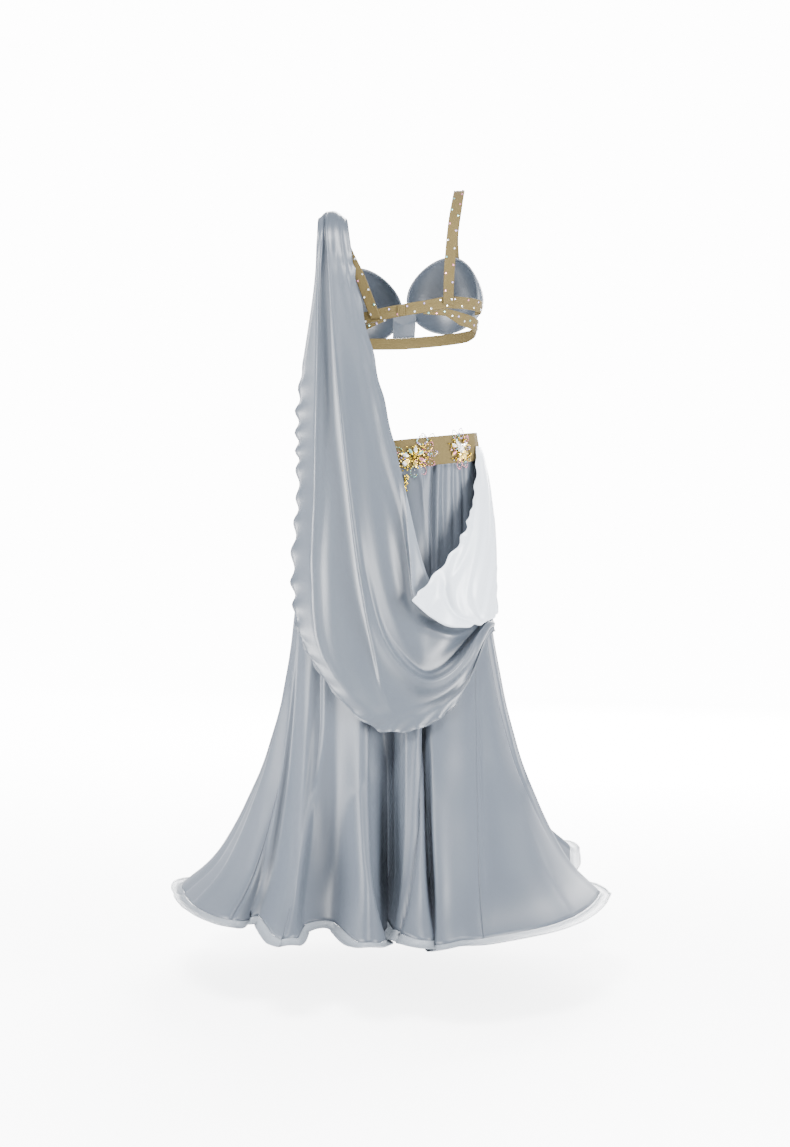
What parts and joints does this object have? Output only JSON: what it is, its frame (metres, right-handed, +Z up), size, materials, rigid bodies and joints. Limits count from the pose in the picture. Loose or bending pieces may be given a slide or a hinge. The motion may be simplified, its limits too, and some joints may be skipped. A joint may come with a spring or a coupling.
{
  "type": "belly dance dress",
  "caption": "Worn two-piece stage costume: flared satin skirt gathered to a hip belt, one-shoulder satin drape and a strapped bra with satin cups, hollow as if on a wearer.",
  "frame": {"origin": "centre of the hip belt's top opening, where the wearer's hips hold the costume up", "axes": "+Z up, +X towards the wearer's right side, +Y towards the wearer's front, so the back with the drape faces -Y"},
  "size_m": [0.819, 0.8184, 1.3602],
  "materials": {
    "satin": "silver-grey satin, smooth soft sheen",
    "braid": "sheer horsehair braid, pale grey",
    "power_net": "matte skin-tone stretch net",
    "stones": "clear stones with a pink and blue lustre in gold cups",
    "gold": "bright gold beads and settings"
  },
  "bodies": {
    "root": {"skirt_back": "satin", "skirt_right": "satin", "skirt_front": "satin", "skirt_left": "satin", "hem_braid": "braid", "hip_belt": "power_net", "applique_1": "stones", "bead_drop_1": "gold", "applique_2": "stones", "applique_3": "stones", "bead_drop_3": "gold", "applique_4": "stones", "applique_5": "stones", "bead_drop_5": "gold", "applique_6": "stones", "applique_7": "stones", "bead_drop_7": "gold", "applique_8": "stones", "applique_9": "stones", "bead_drop_9": "gold", "drape_back": "satin", "drape_hip_flap": "satin", "bra_band_right": "power_net", "bra_band_left": "power_net", "bra_hook_tab": "power_net", "bra_lower_strap": "power_net", "bra_cup_right": "satin", "bra_cup_left": "satin", "bra_centre_bridge": "satin", "bra_strap_right": "power_net", "bra_strap_left": "power_net"}
  },
  "joints": []
}
